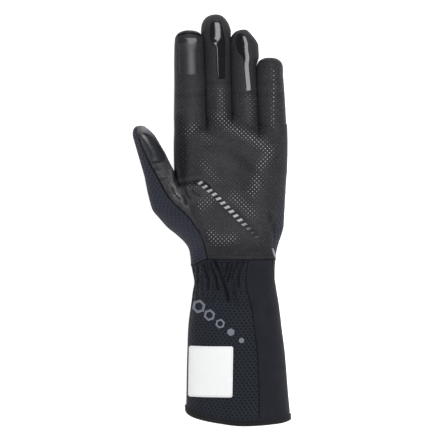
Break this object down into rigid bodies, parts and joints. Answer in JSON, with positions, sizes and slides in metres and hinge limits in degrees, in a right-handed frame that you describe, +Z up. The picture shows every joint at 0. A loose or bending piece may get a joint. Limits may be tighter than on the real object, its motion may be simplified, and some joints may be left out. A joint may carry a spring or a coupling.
{
  "type": "karting glove",
  "caption": "Karting glove for the left hand, with a long mesh gauntlet cuff, a dotted dark palm, glossy fingertip grips and a plain white label",
  "frame": {"origin": "Middle of the glove's bounding box in plan, at the height of the surface it lies on", "axes": "+Z up and out of the palm, +Y from the cuff's mouth to the fingertips, +X to the little finger's side"},
  "size_m": [0.1224, 0.3162, 0.0385],
  "materials": {
    "palm_leather": "dark grey, satin, with small raised grip dots",
    "back_knit": "blue-black fine knit, matte",
    "cuff_mesh": "dark honeycomb mesh, matte",
    "stretch_panel": "smooth dark stretch cloth, matte",
    "binding": "woven binding tape, matte",
    "label": "white, matte, blank",
    "grip_gloss": "near black, glossy",
    "side_trim": "pale grey, satin"
  },
  "bodies": {
    "root": {"palm_panel": "palm_leather", "back_panel": "back_knit", "thumb_front": "palm_leather", "thumb_back": "back_knit", "cuff_mesh": "cuff_mesh", "cuff_side_panel": "stretch_panel", "hem_binding": "binding", "label_patch": "label", "grip_patch_index": "grip_gloss", "grip_patch_middle": "grip_gloss", "grip_patch_ring": "grip_gloss", "grip_patch_thumb": "grip_gloss", "side_trim": "side_trim"}
  },
  "joints": []
}
